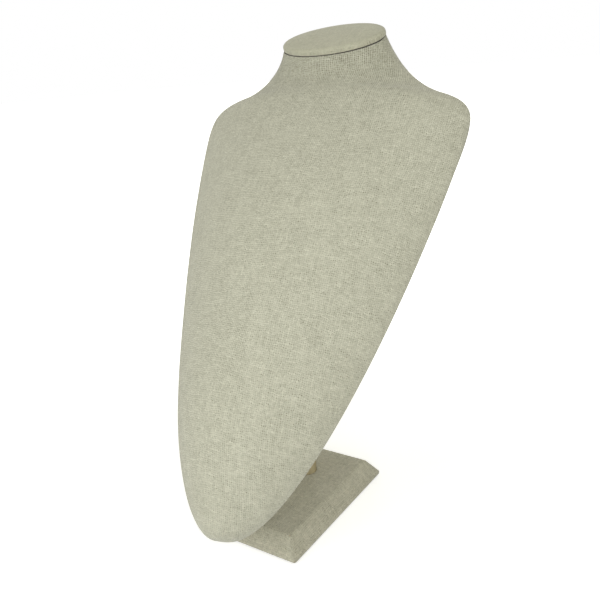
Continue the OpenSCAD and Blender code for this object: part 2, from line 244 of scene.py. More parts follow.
# Linen: the thread pitch is in millimetres and the bump height in metres
weave = {
    "threadPitch": 1.58, "pale": (0.64, 0.637, 0.528, 1), "dark": (0.15, 0.145, 0.1, 1),
    # The last colour on the next line is painted shade for the slot under the cap
    "slub": 0.08, "grain": 0.13, "gap": 0.5, "seam": 0.13, "fleck": 0.16, "glue": (0.05, 0.034, 0.018, 1),
    "bumpHeight": 0.00022, "roughness": 0.92, "specular": 0.2, "sheen": 0.33, "sheenRoughness": 0.5,
}
weaveInputs = {
    "Thread Pitch": "threadPitch", "Pale": "pale", "Dark": "dark", "Slub": "slub", "Grain": "grain",
    "Gap": "gap", "Seam": "seam", "Fleck": "fleck",
}
unit = (0.0, 1.0)
noiseRange = (0.3, 0.7)  # where most of a noise lies

# What every linen shares: noise scales are per millimetre or per thread, and pairs are ranges
pattern = {
    "drifts": [(0.03, (5.0, 5.0, 0.0)), (0.22, (1.2, 2.6, 0.0))],  # noise scale and shift in mm
    "nextThread": 1.7, "alongWarp": 0.09, "alongWeft": 0.14, "slubDetail": 3.0,
    "warpShare": 0.4, "weftShare": 0.6, "topShare": 0.7, "slubHeight": 0.25, "crossHeight": (0.55, 1.0),
    "fibreAcross": 6.0, "fibreAlong": 0.9, "grainRange": (-0.5, 0.5),
    "looseScale": (0.06, 0.09, 0.0), "looseRange": (0.3, 0.65), "looseGaps": (0.5, 1.5), "gapPower": 1.3,
    "gapEdge": (0.08, 0.28), "seamEdge": (0.02, 0.22), "weftSeam": 0.7,
    # Towards the neck the gaps and seams open up as the weave loosens, and the tone darkens there with
    # painted shade
    "openGaps": (1.0, 2.2), "openSeams": (0.9, 3.6), "paintedNeckShade": 0.09, "neckShadePower": 3.0,
    "fleckScale": (0.4, 1.1), "fleckEdge": (0.72, 0.78), "patchScale": (0.05, 0.03, 0.0),
    "patchTone": (-0.02, 0.02), "tone": 0.66,
}


# Plain weave: two sets of threads that pass over and under each other, with slubs, dark gaps and flecks
def makeWeaveGroup():
    inputs = [("Cloth", "NodeSocketVector", None)]
    for socketName, key in weaveInputs.items():
        kind = "NodeSocketColor" if key in ("pale", "dark") else "NodeSocketFloat"
        inputs.append((socketName, kind, weave[key]))
    outputs = [("Color", "NodeSocketColor"), ("Height", "NodeSocketFloat")]
    group, given, results = newGroup("plainWeave", inputs, outputs)
    b = NodeBuilder(group)
    at = given["Cloth"]
    for scale, reach in pattern["drifts"]:
        wander = b.noise(given["Cloth"], scale, 1.0, 0.5, "Color")
        shift = b.vector("MULTIPLY", b.vector("SUBTRACT", wander, (0.5, 0.5, 0.5)), reach)
        at = b.vector("ADD", at, shift)
    x, y, opennessAndShade = b.separate(at)
    x = b.math("DIVIDE", x, given["Thread Pitch"])
    y = b.math("DIVIDE", y, given["Thread Pitch"])
    warp, weft = b.math("FLOOR", x), b.math("FLOOR", y)
    crown = lambda v: b.math("SINE", b.times(b.math("FRACT", v), math.pi))
    warpCrown, weftCrown = crown(x), crown(y)
    over = b.math("MODULO", b.math("ABSOLUTE", b.plus(warp, weft)), 2.0)
    under = b.minus(1.0, over)
    choose = lambda one, two: b.plus(b.times(over, one), b.times(under, two))

    # Each thread has its own tone, which changes along it; the slubs across the cloth are shorter.
    # The third coordinate of a noise only keeps it apart from the others.
    warpPlace = b.combine(b.times(warp, pattern["nextThread"]), b.times(y, pattern["alongWarp"]))
    weftPlace = b.combine(b.times(x, pattern["alongWeft"]), b.times(weft, pattern["nextThread"]), 7.0)
    slubAt = lambda place: b.remap(b.noise(place, detail=pattern["slubDetail"]), noiseRange, (-1.0, 1.0))
    warpSlub, weftSlub = slubAt(warpPlace), slubAt(weftPlace)
    slub = b.plus(b.times(warpSlub, pattern["warpShare"]), b.times(weftSlub, pattern["weftShare"]))
    slub = b.plus(slub, b.times(choose(warpSlub, weftSlub), pattern["topShare"]))
    across, along = pattern["fibreAcross"], pattern["fibreAlong"]
    warpFibre = b.noise(b.combine(b.times(x, across), b.times(y, along), 3.0))
    weftFibre = b.noise(b.combine(b.times(x, along), b.times(y, across), 5.0))
    threadGrain = b.remap(b.white(b.combine(warp, weft, 0.5)), unit, pattern["grainRange"])
    grain = b.plus(threadGrain, b.remap(choose(warpFibre, weftFibre), noiseRange, pattern["grainRange"]))
    height = choose(b.times(warpCrown, b.remap(weftCrown, unit, pattern["crossHeight"])),
                    b.times(weftCrown, b.remap(warpCrown, unit, pattern["crossHeight"])))

    # Gaps where four threads meet, wider where the threads are thin, and fainter ones beside each thread
    nearEdge = lambda v: b.minus(0.5, b.math("ABSOLUTE", b.minus(b.math("FRACT", v), 0.5)))
    fade = lambda near, edge: b.remap(near, edge, (1.0, 0.0))
    nearX, nearY = nearEdge(x), nearEdge(y)
    chance = b.white(b.combine(b.math("ROUND", x), b.math("ROUND", y), 3.5))
    loose = b.noise(b.vector("MULTIPLY", at, pattern["looseScale"]))
    looseGaps = b.remap(loose, pattern["looseRange"], pattern["looseGaps"])
    thin = b.times(b.math("POWER", chance, pattern["gapPower"]), looseGaps)
    thin = b.times(thin, b.remap(opennessAndShade, unit, pattern["openGaps"]))
    hole = b.times(fade(nearX, pattern["gapEdge"]), fade(nearY, pattern["gapEdge"]))
    seamX = b.times(fade(nearX, pattern["seamEdge"]), b.remap(opennessAndShade, unit, pattern["openSeams"]))
    seam = b.plus(seamX, b.times(fade(nearY, pattern["seamEdge"]), pattern["weftSeam"]))
    gap = b.plus(b.times(hole, thin), b.times(seam, given["Seam"]))
    fleckX, fleckY = pattern["fleckScale"]
    fleckPlace = b.combine(b.times(x, fleckX), b.times(y, fleckY), 11.0)
    fleck = b.remap(b.noise(fleckPlace, 1.0, 1.0, 0.5), pattern["fleckEdge"])
    patch = b.noise(b.vector("MULTIPLY", at, pattern["patchScale"]))

    tone = b.plus(pattern["tone"], b.times(slub, given["Slub"]))
    tone = b.plus(tone, b.times(grain, given["Grain"]))
    tone = b.minus(tone, b.times(gap, given["Gap"]))
    tone = b.minus(tone, b.times(fleck, given["Fleck"]))
    # Painted shade: the colour darkens towards the top of the neck, across its front
    tone = b.minus(tone, b.times(b.math("POWER", opennessAndShade, pattern["neckShadePower"]), pattern["paintedNeckShade"]))
    tone = b.plus(tone, b.remap(patch, noiseRange, pattern["patchTone"]), clamp=True)
    b.link(b.blend(tone, given["Dark"], given["Pale"]), results["Color"])
    b.link(b.plus(height, b.times(slub, pattern["slubHeight"])), results["Height"])
    return group


weaveGroup = makeWeaveGroup()


def newMaterial(name, roughness, metallic=0.0):
    material = bpy.data.materials.new(name)
    material.use_nodes = True
    tree = material.node_tree
    shader = tree.nodes["Principled BSDF"]
    shader.inputs["Roughness"].default_value = roughness
    shader.inputs["Metallic"].default_value = metallic
    return material, NodeBuilder(tree), shader


def bump(b, shader, height, depth, strength=1.0):
    node = b.tree.nodes.new("ShaderNodeBump")
    node.inputs["Strength"].default_value = strength
    node.inputs["Distance"].default_value = depth
    b.link(height, node.inputs["Height"])
    b.link(node.outputs["Normal"], shader.inputs["Normal"])


# Painted shade: the linen takes a near-black brown where the point attribute for the slot under the cap says
# so
def makeLinen(name, **changes):
    settings = dict(weave, **changes)
    material, b, shader = newMaterial(name, settings["roughness"])
    group = b.tree.nodes.new("ShaderNodeGroup")
    group.node_tree = weaveGroup
    b.link(b.attribute("clothAt")["Vector"], group.inputs["Cloth"])
    for socketName, key in weaveInputs.items():
        group.inputs[socketName].default_value = settings[key]
    color = b.blend(b.attribute("glueAt")["Fac"], group.outputs["Color"], settings["glue"])
    b.link(color, shader.inputs["Base Color"])
    bump(b, shader, group.outputs["Height"], settings["bumpHeight"])
    shader.inputs["Specular IOR Level"].default_value = settings["specular"]
    shader.inputs["Sheen Weight"].default_value = settings["sheen"]
    shader.inputs["Sheen Roughness"].default_value = settings["sheenRoughness"]
    return material


linenMaterial = makeLinen("naturalLinen")
# The cap's linen has a finer weave, and its pale colour is set darker than the bust's linen as painted shade
smoothShadedLinen = makeLinen("smoothShadedLinen", pale=(0.57, 0.565, 0.445, 1), slub=0.06, grain=0.12, gap=0.35,
                        seam=0.05, bumpHeight=0.00012)
baseCloth = makeLinen("baseCloth", pale=(0.61, 0.59, 0.475, 1), slub=0.1, grain=0.16, gap=0.5, seam=0.1)

woodGrain = {
    "pale": (0.45, 0.39, 0.24, 1), "dark": (0.29, 0.24, 0.14, 1), "roughness": 0.6,
    "ringScale": 240.0, "ringStretch": (1.0, 1.0, 0.06), "ringDetail": 4.0,
    "poreScale": 2200.0, "poreStretch": (1.0, 1.0, 0.02), "poreRange": (0.6, 0.8), "poreTone": (0.0, -0.5),
    "bumpHeight": 0.0001, "bumpStrength": 0.6,
}


def makeWood(name, settings):
    material, b, shader = newMaterial(name, settings["roughness"])
    place = b.place()
    rings = b.noise(b.vector("MULTIPLY", place, settings["ringStretch"]), settings["ringScale"],
                    settings["ringDetail"])
    pores = b.noise(b.vector("MULTIPLY", place, settings["poreStretch"]), settings["poreScale"])
    poreTone = b.remap(pores, settings["poreRange"], settings["poreTone"])
    tone = b.plus(b.remap(rings, noiseRange), poreTone, clamp=True)
    b.link(b.blend(tone, settings["dark"], settings["pale"]), shader.inputs["Base Color"])
    bump(b, shader, pores, settings["bumpHeight"], settings["bumpStrength"])
    return material


woodMaterial = makeWood("sandedWood", woodGrain)

# Two tones and fine grain each, for what is hidden inside and for the felt
speckled = {
    "fibreboard": {"pale": (0.5, 0.38, 0.24, 1), "dark": (0.3, 0.21, 0.12, 1),
                   "scale": 900, "roughness": 0.8, "bumpHeight": 0.0002},
    "moulding": {"pale": (0.74, 0.72, 0.66, 1), "dark": (0.6, 0.58, 0.52, 1),
                 "scale": 160, "roughness": 0.55, "bumpHeight": 0.0002},
    "zincedSteel": {"pale": (0.66, 0.66, 0.64, 1), "dark": (0.5, 0.5, 0.49, 1),
                    "scale": 1500, "roughness": 0.35, "bumpHeight": 0.00002, "metallic": 1.0},
    "felt": {"pale": (0.22, 0.2, 0.16, 1), "dark": (0.1, 0.09, 0.07, 1),
             "scale": 1800, "roughness": 0.95, "bumpHeight": 0.0004},
    "foam": {"pale": (0.8, 0.77, 0.66, 1), "dark": (0.6, 0.57, 0.46, 1),
             "scale": 1400, "roughness": 0.9, "bumpHeight": 0.0003},
}
speckleDetail, speckleRoughness, speckleBump = 5.0, 0.65, 0.5


def makeSpeckled(name, settings):
    material, b, shader = newMaterial(name, settings["roughness"], settings.get("metallic", 0.0))
    grain = b.noise(b.place(), settings["scale"], speckleDetail, speckleRoughness)
    color = b.blend(b.remap(grain, noiseRange), settings["dark"], settings["pale"])
    b.link(color, shader.inputs["Base Color"])
    bump(b, shader, grain, settings["bumpHeight"], speckleBump)
    return material


otherMaterials = {name: makeSpeckled(name, settings) for name, settings in speckled.items()}
print("materials made")


# Bust form: outline, crowned sections and bent spine, as in the shell under the linen
bust = {
    "width": 250, "chestLength": 340, "tipSpread": 72, "sideRun": 40,
    "shoulderInset": 26, "shoulderRise": 33, "shoulderSlope": 19, "cornerReach": 15, "crestReach": 26,
    "neckLength": 48, "neckFlare": 21, "neckRise": 23, "neckSplay": 8,
    "crown": [23, 52, 54.5, 54, 40], "tipRound": 36, "rim": 2.2, "ovalStart": 3,
    "fullness": 0.72, "tipFullness": 0.55, "tipReach": 110,  # an exponent of 0.5 makes an ellipse
    "lean": 33.5, "bendRise": 18, "neckBend": 43, "neckCut": 14, "bendSteps": 24,
    "tipForward": 98, "tipHeight": 21, "turnOver": 14, "panelInset": 5, "seamHalf": 0.25,
    # The last four set where the weave loosens towards the neck's front, which also carries painted shade
    "edgeRound": 1.9, "topRound": 0.35, "openShadeFrom": 295, "openShadeOver": 120, "openShadeWidth": 40, "openShadeFade": 2.4,
    "tipStarts": [0.001, 0.003, 0.006, 0.01, 0.015], "tipFrom": 0.02,
    "tipRows": 88, "cornerRows": 14, "neckRows": 44, "frontSteps": 110, "edgeSteps": 5, "backSteps": 9,
}
# The neck takes its width and depth from the cap
cap = {
    "width": 96, "depth": 52, "thickness": 5.9, "boardThickness": 2, "round": 2.6, "roundReach": 3.4,
    "dome": 1.2, "domePower": 2.2, "domeEnd": 0.985, "overhang": 0.5, "lap": 14, "underRound": 0.8,
    "slotHeight": 0.38, "slotDepth": 3.5, "clearance": 0.02, "ovalSteps": 144, "arcStep": 9, "domeRings": 14,
}

halfWidth = bust["width"] / 2
crestAt = bust["chestLength"] + bust["shoulderRise"]
faceLength = crestAt + bust["neckLength"]
neckHalfWidth = cap["width"] / 2 - cap["overhang"]
neckHalfDepth = cap["depth"] / 2 - cap["overhang"]
crest = (halfWidth - bust["shoulderInset"], crestAt)
crestLine = (cosDeg(bust["shoulderSlope"]), -sinDeg(bust["shoulderSlope"]))


def alongCrest(reach):
    return (crest[0] + reach * crestLine[0], crest[1] + reach * crestLine[1])


tipCurve = [(0, 0), (bust["tipSpread"], 0), (halfWidth, bust["chestLength"] - bust["sideRun"]),
            (halfWidth, bust["chestLength"])]
cornerCurve = [(halfWidth, bust["chestLength"]), (halfWidth, bust["chestLength"] + bust["cornerReach"]),
               alongCrest(bust["crestReach"]), crest]
neckCurve = [crest, alongCrest(-bust["neckFlare"]),
             (neckHalfWidth + bust["neckSplay"], faceLength - bust["neckRise"]), (neckHalfWidth, faceLength)]
bendStart = bust["chestLength"] + bust["bendRise"]
panelTop = bust["chestLength"] - bust["panelInset"]
closeStart = panelTop - 3 * bust["turnOver"]  # the back closes over three widths of turned linen


def bendShare(v):
    return limit((v - bendStart) / (faceLength - bendStart))


# The spine leans back along the chest and bends forward in the neck
def leanAt(v):
    t = bendShare(v)
    return bust["lean"] - bust["neckBend"] * (t + ease(t)) / 2


# Sections are square to the spine, but turn further in the neck, whose top slopes forward
def tiltAt(v):
    return leanAt(v) - bust["neckCut"] * ease(bendShare(v))


# The place of the flat back at length v, as (y, z)
def spine(v):
    lean, steps = bust["lean"], bust["bendSteps"]
    straight, neck = min(v, bendStart), max(v - bendStart, 0)
    turned = [leanAt(bendStart + neck * (k + 0.5) / steps) for k in range(steps)]
    return (-bust["tipForward"] + straight * sinDeg(lean) + neck * sum(sinDeg(a) for a in turned) / steps,
            bust["tipHeight"] + straight * cosDeg(lean) + neck * sum(cosDeg(a) for a in turned) / steps)


# Height of the front over the flat back: a smooth curve through the crown's heights
def crownAt(v):
    heights = bust["crown"] + [neckHalfDepth]
    steps = len(heights) - 1
    x = limit(v / faceLength) * steps
    i = min(math.floor(x), steps - 1)
    a, b = heights[i], heights[i + 1]
    before = heights[i - 1] if i > 0 else 2 * a - b
    after = heights[i + 2] if i < steps - 1 else b
    return bezier([(a, 0), (a + (b - before) / 6, 0), (b - (after - a) / 6, 0), (b, 0)], x - i)[0]


# From 0 where the back is open to 1 at the panel's top, where it is closed
def closing(v):
    return ease((v - closeStart) / (panelTop - closeStart))


# How far the neck's back stands out behind the flat back
def neckBack(v):
    return neckHalfDepth * ease((v - bust["chestLength"]) / (faceLength - bust["chestLength"]))


# The crowned front at a share s of the half width u, from -1 to 1; grow moves the surface out
def frontPoint(v, u, grow, s):
    turnOval = ease((v - crestAt + bust["ovalStart"]) / (bust["neckLength"] + bust["ovalStart"]))
    fullness = mix(mix(bust["tipFullness"], bust["fullness"], ease(v / bust["tipReach"])), 0.5, turnOval)
    shrink = 1 - limit(u / bust["tipRound"])
    top = bust["rim"] + math.sqrt(1 - shrink * shrink) * (crownAt(v) - bust["rim"]) + grow
    edge = bust["rim"] + grow
    return ((u + grow) * s, edge + (top - edge) * max(1 - s * s, 0) ** fullness)


# The back of a section: round its edge, then flat under the panel or right round the neck
def backPoint(v, u, grow, k):
    half, r = u + grow, min(bust["edgeRound"], (u + grow) / 2)
    edgeSteps, steps = bust["edgeSteps"], bust["edgeSteps"] + bust["backSteps"]
    if k <= edgeSteps:
        a = 90 * k / edgeSteps
        flat = (half - r + r * cosDeg(a), r - r * sinDeg(a))
    else:
        inner = min(max(half - bust["turnOver"], bust["seamHalf"]), half - r)
        flat = (mix(half - r, inner, (k - edgeSteps) / bust["backSteps"]), 0)
    x = half * math.cos(math.acos(min(bust["seamHalf"] / half, 1)) * k / steps)
    roundBack = (x, -neckBack(v) * math.sqrt(max(1 - x * x / (half * half), 0)))
    t = closing(v)
    return (mix(flat[0], roundBack[0], t), mix(flat[1], roundBack[1], t) - grow)


# A whole section as (x, height), from one turned edge of the back over the front to the other
def section(v, u, grow):
    steps = bust["frontSteps"]
    back = [backPoint(v, u, grow, k) for k in range(bust["edgeSteps"] + bust["backSteps"] + 1)]
    front = [frontPoint(v, u, grow, sinDeg(180 * j / steps - 90)) for j in range(steps + 1)]
    return [(-x, y) for x, y in reversed(back)] + front + back


# The points of a section in the frame
def placed(points, v):
    at, tilt = spine(v), tiltAt(v)
    return [(x, at[0] - h * cosDeg(tilt), at[1] + h * sinDeg(tilt)) for x, h in points]


# The outline from tip to neck as (half width, length), closest together at the tip
def makeOutline():
    start, count = bust["tipFrom"], bust["tipRows"]
    steps = bust["tipStarts"] + [start + (1 - start) * i / count for i in range(count + 1)]
    points = [bezier(tipCurve, t) for t in steps]
    for curve, rows in ((cornerCurve, bust["cornerRows"]), (neckCurve, bust["neckRows"])):
        points += [bezier(curve, i / rows) for i in range(1, rows + 1)]
    return points


# Rows of the linen: up the outline, over the neck's edge, into the slot under the cap and under the cap
def bustRows():
    r, edgeAt = bust["topRound"], faceLength - cap["slotHeight"]
    rows = [(u, v, 0.0) for u, v in makeOutline()[:-1]]
    rows += [(neckHalfWidth, edgeAt - r * (1 - sinDeg(a)), -r * (1 - cosDeg(a))) for a in coarseTurn]
    rows += [(neckHalfWidth, edgeAt, -inset) for inset in (1.0, cap["slotDepth"])]
    rows += [(neckHalfWidth, faceLength, -inset) for inset in (cap["slotDepth"] + 1, bust["turnOver"] / 2)]
    return rows


# Linen over face and neck: an outer and an inner skin, closed along the turned edges
def makeBustLinen():
    outer, inner, cloth, glue = [], [], [], []
    middle = bust["edgeSteps"] + bust["backSteps"] + 1 + bust["frontSteps"] // 2
    glueFrom = faceLength - cap["slotHeight"] - 0.1 * bust["topRound"]  # rows above it are in the slot
    rise, backExtra, before = 0.0, 0.0, None
    for u, v, grow in bustRows():
        outerRow = placed(section(v, u, grow), v)
        innerAt = min(v, faceLength - linen)
        outer.append(outerRow)
        inner.append(placed(section(innerAt, u, min(-linen, grow)), innerAt))
        # The neck's back is longer than its front, so the cloth's length there grows faster
        if before:
            step = math.dist(before[middle], outerRow[middle])
            rise += step
            backExtra += math.dist(before[-1], outerRow[-1]) - step if v > bendStart else 0
        before = outerRow
        lengths = pathLengths(outerRow)
        across = [length - lengths[middle] for length in lengths]
        # The third cloth coordinate rises towards the neck's front: the weave loosens there, and painted
        # shade darkens it
        opennessAndShade = ease((v - bust["openShadeFrom"]) / bust["openShadeOver"])
        cloth += [(x, rise + backExtra * (1 - math.cos(math.pi * x / across[-1])) / 2,
                   opennessAndShade * ease(bust["openShadeFade"] - abs(x) / bust["openShadeWidth"])) for x in across]
        # Painted shade: rows in the slot and under the cap take a near-black brown
        glue += [1.0 if v > glueFrom else 0.0] * len(outerRow)
    rows, columns = len(outer), len(outer[0])
    count, top = rows * columns, (rows - 1) * columns
    faces = rowFaces(rows, columns) + moved(rowFaces(rows, columns), count, turned=True)
    for left in range(0, top, columns):
        right = left + columns - 1
        faces.append((left, left + columns, count + left + columns, count + left))
        faces.append((right, count + right, count + right + columns, right + columns))
    for c in range(columns - 1):
        faces.append((top + c, top + c + 1, count + top + c + 1, count + top + c))
        faces.append((c + 1, c, count + c, count + c + 1))
    return makePiece("bustLinen", "bust_linen", joined(outer + inner), faces, linenMaterial,
                     cloth * 2, glue * 2)


bustLinen = makeBustLinen()
print("bust linen made")


# Back panel: linen wrapped round a stiff board, in the plane of the bust's edge
panel = {
    "cornerRadius": 8, "boardThickness": 2.5, "edgeRound": 0.9, "axisFrom": 70, "axisTo": 260,
    "sideSteps": 90, "cornerSteps": 12, "topSteps": 20, "fillSteps": 16, "innerSteps": 6,
}


# A point at length v and at w in front of the bust's flat back
def onPlane(x, v, w):
    lean = bust["lean"]
    return (x, -bust["tipForward"] + v * sinDeg(lean) - w * cosDeg(lean),
            bust["tipHeight"] + v * cosDeg(lean) + w * sinDeg(lean))


# The tip's curve moved in, two round corners and a straight top, as a closed loop
def panelOutline():
    inset, r = bust["panelInset"], panel["cornerRadius"]
    samples = [bezier(tipCurve, i / panel["sideSteps"]) for i in range(panel["sideSteps"] + 1)]
    half = []
    for (x1, y1), (x2, y2) in zip(samples, samples[1:]):
        size = math.hypot(x2 - x1, y2 - y1)
        x = (x2 + x1) / 2 - inset * (y2 - y1) / size
        y = (y2 + y1) / 2 + inset * (x2 - x1) / size
        if x > 1 and y < panelTop - r - 1:
            half.append((x, y))
    cornerX, cornerY = halfWidth - inset - r, panelTop - r
    for k in range(panel["cornerSteps"] + 1):
        a = 90 * k / panel["cornerSteps"]
        half.append((cornerX + r * cosDeg(a), cornerY + r * sinDeg(a)))
    half += [(cornerX * (1 - k / panel["topSteps"]), panelTop) for k in range(1, panel["topSteps"])]
    return [(0, inset)] + half + [(0, panelTop)] + [(-x, y) for x, y in reversed(half)]


def outwardNormals(loop):
    out = []
    for k in range(len(loop)):
        a, b = loop[k - 1], loop[(k + 1) % len(loop)]
        run = (b[0] - a[0], b[1] - a[1])
        size = math.hypot(*run)
        out.append((run[1] / size, -run[0] / size))
    return out


def makeBackLinen():
    loop = panelOutline()
    normals = outwardNormals(loop)
    r, depth = panel["edgeRound"], panel["boardThickness"] + linen
    rows, cloth = [], []

    # A ring at w in front of the bust's back plane; drop is its distance along the cloth
    def addRing(inset, w, drop):
        rows.append([onPlane(x - n[0] * inset, y - n[1] * inset, w) for (x, y), n in zip(loop, normals)])
        cloth.append([(x + n[0] * drop, y + n[1] * drop) for (x, y), n in zip(loop, normals)])

    # Rings between the outline at share 0 and the panel's long axis at share 1
    def addFill(inset, w, shares):
        for t in shares:
            at = []
            for (x, y), n in zip(loop, normals):
                x, y = x - n[0] * inset, y - n[1] * inset
                axis = min(max(y, panel["axisFrom"]), panel["axisTo"])
                at.append((x * (1 - t), mix(y, axis, t)))
            rows.append([onPlane(x, y, w) for x, y in at])
            cloth.append(at)

    # From the middle of the inner skin out, round the edge, and back to the middle of the outer skin
    addFill(linen, linen - depth, [1 - k / panel["innerSteps"] for k in range(panel["innerSteps"])])
    addRing(linen, linen - depth, 0)
    addRing(linen, 0, depth)
    addRing(0, 0, depth)
    for a in quarterTurn:
        w = -depth + r - r * sinDeg(a)
        addRing(r - r * cosDeg(a), w, depth + w)
    addFill(r, -depth, [k / panel["fillSteps"] for k in range(1, panel["fillSteps"] + 1)])
    faces = rowFaces(len(rows), len(loop), wrap=True)
    return makePiece("backLinen", "back_linen", joined(rows), faces, linenMaterial, joined(cloth))


backLinen = makeBackLinen()
print("back panel made")


# Neck cap: linen over foam over a stiff oval board, standing a little past the neck
def onNeck(x, y, z):
    at, tilt = spine(faceLength), tiltAt(faceLength)
    return (x, at[0] + y * cosDeg(tilt) + z * sinDeg(tilt), at[1] - y * sinDeg(tilt) + z * cosDeg(tilt))


# Rings are (inset from the cap's oval, height over the neck, distance along the cloth)
def ovalRings(rings):
    points, cloth = [], []
    for inset, z, drop in rings:
        for i in range(cap["ovalSteps"]):
            a = 360 * i / cap["ovalSteps"]
            x, y = (cap["width"] / 2 - inset) * cosDeg(a), (cap["depth"] / 2 - inset) * sinDeg(a)
            points.append(onNeck(x, y, z))
            cloth.append((x + cosDeg(a) * drop, y + sinDeg(a) * drop))
    faces = rowFaces(len(rings), cap["ovalSteps"], wrap=True) + endFaces(len(rings), cap["ovalSteps"])
    return points, faces, cloth


# The rounded rim and the slight dome of the foam, or of the linen when it grows by the linen's thickness
def capTop(grow):
    half, reach, rise = cap["depth"] / 2, cap["roundReach"] + grow, cap["round"] + grow
    inset, height = linen + cap["roundReach"], cap["thickness"] - linen - cap["round"]
    rings = []
    for a in range(0, 91, cap["arcStep"]):
        rings.append((inset - reach * cosDeg(a), height + rise * sinDeg(a), math.radians(90 - a) * rise))
    start = inset / half
    for k in range(1, cap["domeRings"] + 1):
        t = start + (cap["domeEnd"] - start) * k / cap["domeRings"]
        bulge = 1 - ((1 - t) / (1 - start)) ** cap["domePower"]
        rings.append((half * t, height + rise + cap["dome"] * bulge, 0))
    return rings


# The linen rests on the neck inside a narrow slot, which shows as a dark line below the rim; the slot's
# faces are darkened with painted shade
def makeCapLinen():
    r, lap, slotHeight, slotDepth = cap["underRound"], cap["lap"], cap["slotHeight"], cap["slotDepth"]
    floor = linen - cap["clearance"]
    under = [(lap, 0, 0), (slotDepth + 1, 0, 0), (slotDepth, slotHeight, 0), (r + 1, slotHeight, 2)]
    under += [(r - r * sinDeg(a), slotHeight + r - r * cosDeg(a), 4) for a in quarterTurn]
    rings = capTop(0)[::-1] + [(linen, floor, 0), (lap, floor, 0)] + under + capTop(linen)
    points, faces, cloth = ovalRings(rings)
    glue = []
    for inset, z, drop in rings:
        # Painted shade: rings inside the slot take a near-black brown
        inSlot = z <= slotHeight and inset > r + 0.5
        glue += [1.0 if inSlot else 0.0] * cap["ovalSteps"]
    return makePiece("capLinen", "cap_linen", points, faces, smoothShadedLinen, cloth, glue)


def makeCapFoam():
    clear = cap["clearance"]
    rings = [(linen + clear, linen + cap["boardThickness"], 0)]
    rings += [(inset + clear, z - clear, drop) for inset, z, drop in capTop(0)]
    points, faces, cloth = ovalRings(rings)
    return makePiece("capFoam", "cap_pad", points, faces, otherMaterials["foam"])


capLinen = makeCapLinen()
capFoam = makeCapFoam()
print("cap made")


# Base: linen over a bevelled board, turned under it, with folded corners and a hole for the post
base = {
    "width": 97, "depth": 144, "height": 17, "bevel": 9.5, "lip": 2, "pad": 1, "turn": 14,
    "topRound": 4.0, "shoulderRound": 3.0, "bottomRound": 1.0, "leastRound": 0.3, "roundShare": 0.45,
    "cornerRound": 2.2, "leastCorner": 0.4, "hole": 9.6, "postBack": 23.98, "flatRun": 30, "roundSteps": 6,
    "sideSteps": 40, "longSideSteps": 160, "cornerSteps": 8, "outerRows": 10, "innerRows": 3, "longSpan": 5,
    "topFill": [0, 0.03, 0.1, 0.25, 0.45, 0.65, 0.85], "innerFill": [0.6, 0.3, 0],
}
wrinkles = {
    "outward": 0.8, "upward": 0.5, "reach": 1.1, "backShift": 4,
    # Distance from the end, slant, height and half width of each on a long side
    "marks": [(5, 0.22, 0.3, 1.1), (15, 0.28, 0.42, 1.8), (19, 0.12, -0.25, 1.2), (31, 0.35, 0.22, 2.2)],
}
pleat = {
    "width": 11, "thickness": 0.6, "columns": 10, "rows": 16, "start": 0.02, "run": 0.95,
    "hipInset": 0.6, "freeInset": 0.5, "endWidth": 1.2, "curve": 0.8,
    "hipLift": 0.2, "liftOver": 2.5, "edgeFrom": 0.97, "edgeLift": 0.4, "sunk": 0.15, "clothShift": 300,
}


# A rectangle with round corners, as (x, y, outward x, outward y)
def baseLoop(halfX, halfY, r):
    signs = ((1, 1), (-1, 1), (-1, -1), (1, -1))
    loop = []
    for quarter, (sx, sy) in enumerate(signs):
        for k in range(base["cornerSteps"] + 1):
            a = 90 * quarter + 90 * k / base["cornerSteps"]
            x, y = sx * (halfX - r) + r * cosDeg(a), sy * (halfY - r) + r * sinDeg(a)
            loop.append((x, y, cosDeg(a), sinDeg(a)))
        a = 90 * (quarter + 1)
        nextX, nextY = signs[(quarter + 1) % 4]
        start, end = (x, y), (nextX * (halfX - r) + r * cosDeg(a), nextY * (halfY - r) + r * sinDeg(a))
        steps = base["longSideSteps"] if quarter % 2 else base["sideSteps"]
        for k in range(1, steps):
            t = k / steps
            loop.append((mix(start[0], end[0], t), mix(start[1], end[1], t), cosDeg(a), sinDeg(a)))
    return loop


# The covered side from top to underside, moved in by shift, as (inset from the outline, height)
def baseProfile(shift):
    bevel, pad, lip = base["bevel"], base["pad"], base["lip"]
    slope = bevel / (base["height"] - pad - lip)
    scale = math.sqrt(1 + slope ** 2)
    topInset, topZ = bevel + shift * scale - shift * slope, base["height"] - shift
    shoulderZ, bottomZ = pad + lip - shift * (scale - 1) / slope, pad + shift
    corners = [(topInset + base["flatRun"], topZ), (topInset, topZ), (shift, shoulderZ), (shift, bottomZ),
               (shift + base["flatRun"], bottomZ)]
    corners = [Vector(corner) for corner in corners]
    bottomRound = max(base["bottomRound"] - shift, base["leastRound"])
    path = []
    for k, radius in enumerate((base["topRound"] - shift, base["shoulderRound"], bottomRound)):
        before, here, after = corners[k:k + 3]
        one, two = before - here, after - here
        longest = base["roundShare"] * min(one.length, two.length)
        reach = min(radius / math.tan(one.angle(two) / 2), longest)
        p, q = here + one.normalized() * reach, here + two.normalized() * reach
        for j in range(base["roundSteps"] + 1):
            t = j / base["roundSteps"]
            path.append(tuple(p * (1 - t) ** 2 + here * 2 * t * (1 - t) + q * t * t))
    return path


# Long spans of the profile, such as the bevel, are divided into rows
def divided(path, rows):
    fine = []
    for a, b in zip(path, path[1:]):
        steps = rows if math.dist(a, b) > base["longSpan"] else 1
        fine += [(mix(a[0], b[0], k / steps), mix(a[1], b[1], k / steps)) for k in range(steps)]
    return fine + [path[-1]]


